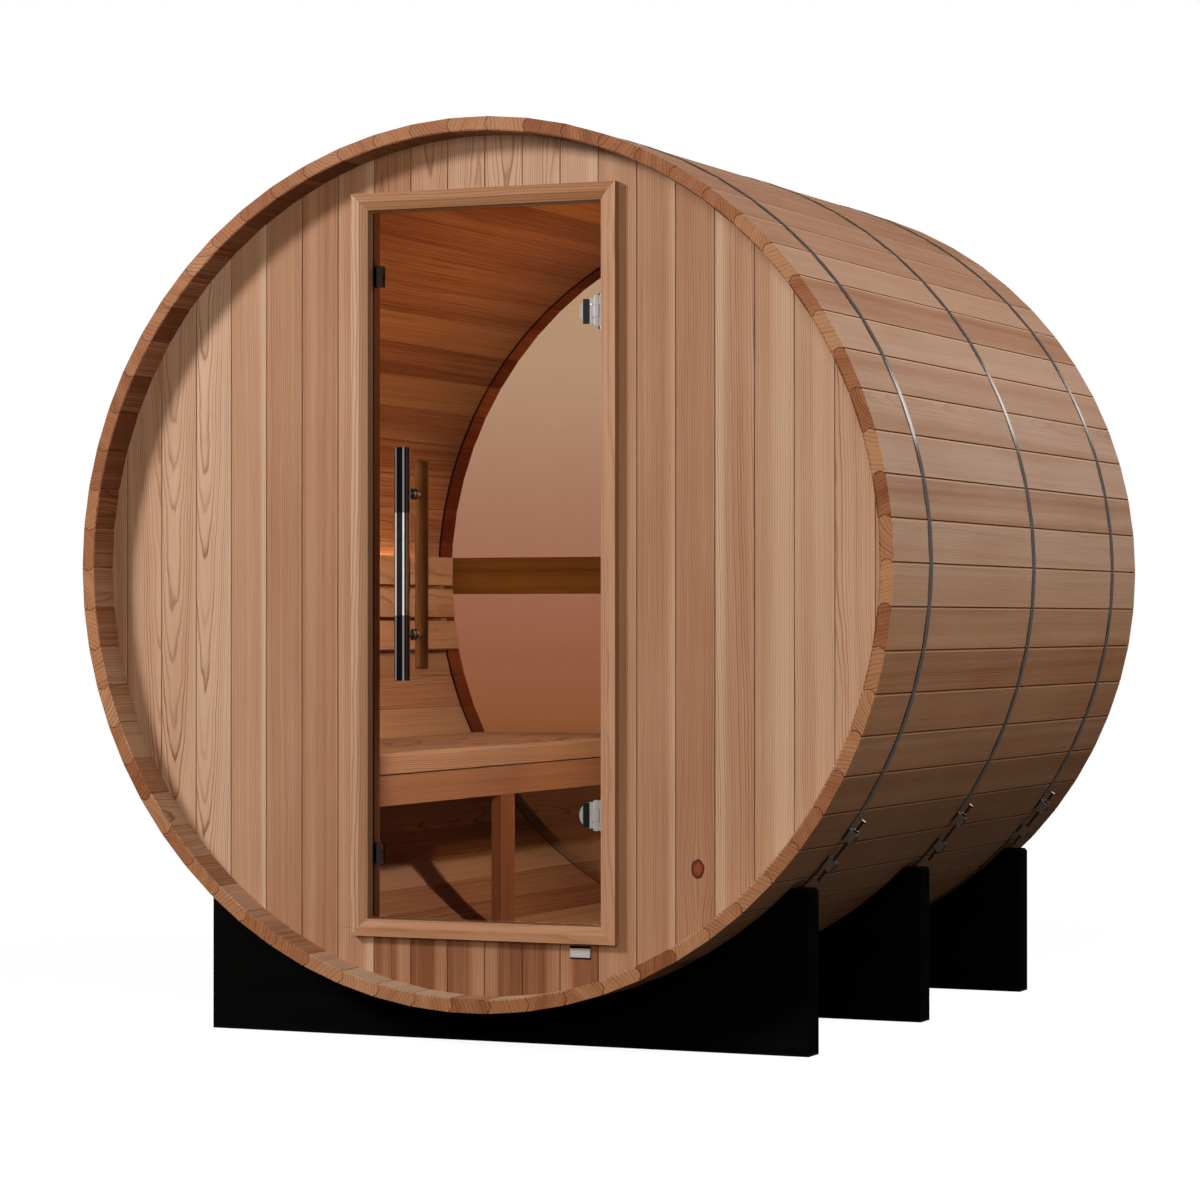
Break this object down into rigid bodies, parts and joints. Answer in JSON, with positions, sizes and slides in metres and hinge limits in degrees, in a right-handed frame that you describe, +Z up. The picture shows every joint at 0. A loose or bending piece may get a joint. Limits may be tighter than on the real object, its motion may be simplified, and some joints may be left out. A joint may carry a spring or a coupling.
{
  "type": "barrel sauna",
  "caption": "Free-standing barrel sauna of cedar staves on saddle cradles, held by steel bands, with a hinged bronze glass door, a full-round glass back and a bench inside.",
  "frame": {"origin": "on the ground, under the middle of the barrel", "axes": "+Z up, +Y from the door to the glass back, +X to the right seen from the door"},
  "size_m": [1.8319, 1.75, 1.904],
  "materials": {
    "stave_cedar": "bare planed cedar",
    "board_cedar": "bare planed cedar",
    "frame_cedar": "bare planed cedar",
    "bench_cedar": "bare planed cedar",
    "dark_cedar": "bare planed cedar",
    "black_stained_wood": "black stain",
    "band_steel": "stainless strip",
    "chrome": "polished",
    "black_plastic": "matte",
    "bronze_glass": "bronze tinted clear glass"
  },
  "bodies": {
    "barrel": {"cradle_front": "black_stained_wood", "cradle_middle": "black_stained_wood", "cradle_rear": "black_stained_wood", "staves_upper_right": "stave_cedar", "staves_top": "stave_cedar", "staves_upper_left": "stave_cedar", "staves_lower_left": "stave_cedar", "staves_bottom": "stave_cedar", "staves_lower_right": "stave_cedar", "band_front": "band_steel", "band_middle": "band_steel", "band_rear": "band_steel", "tension_bolt_front": "band_steel", "tension_bolt_middle": "band_steel", "tension_bolt_rear": "band_steel", "front_wall_left": "board_cedar", "front_wall_right": "board_cedar", "front_wall_over_door": "board_cedar", "front_wall_under_door": "board_cedar", "door_frame_left": "frame_cedar", "door_frame_right": "frame_cedar", "door_frame_top": "frame_cedar", "door_frame_bottom": "frame_cedar", "hinge_leaves": "chrome", "catches": "black_plastic", "rear_glass_upper": "bronze_glass", "rear_glass_lower": "bronze_glass", "rear_rail": "dark_cedar", "bench_slats": "bench_cedar", "bench_apron": "bench_cedar", "bench_post": "bench_cedar", "bench_bearers": "bench_cedar", "backrest_slats": "bench_cedar", "backrest_cleats": "bench_cedar"},
    "door": {"door_glass": "bronze_glass", "hinge_clamps": "chrome", "catch_strikes": "chrome", "door_handle_outer": "chrome", "door_handle_inner": "dark_cedar", "door_handle_posts": "chrome"}
  },
  "joints": [
    {"name": "door_hinge", "type": "hinge", "parent": "barrel", "child": "door", "pos_m": [0.2545, -0.805, 0.991], "axis": [0, 0, 1], "range_deg": [0, 110]}
  ]
}
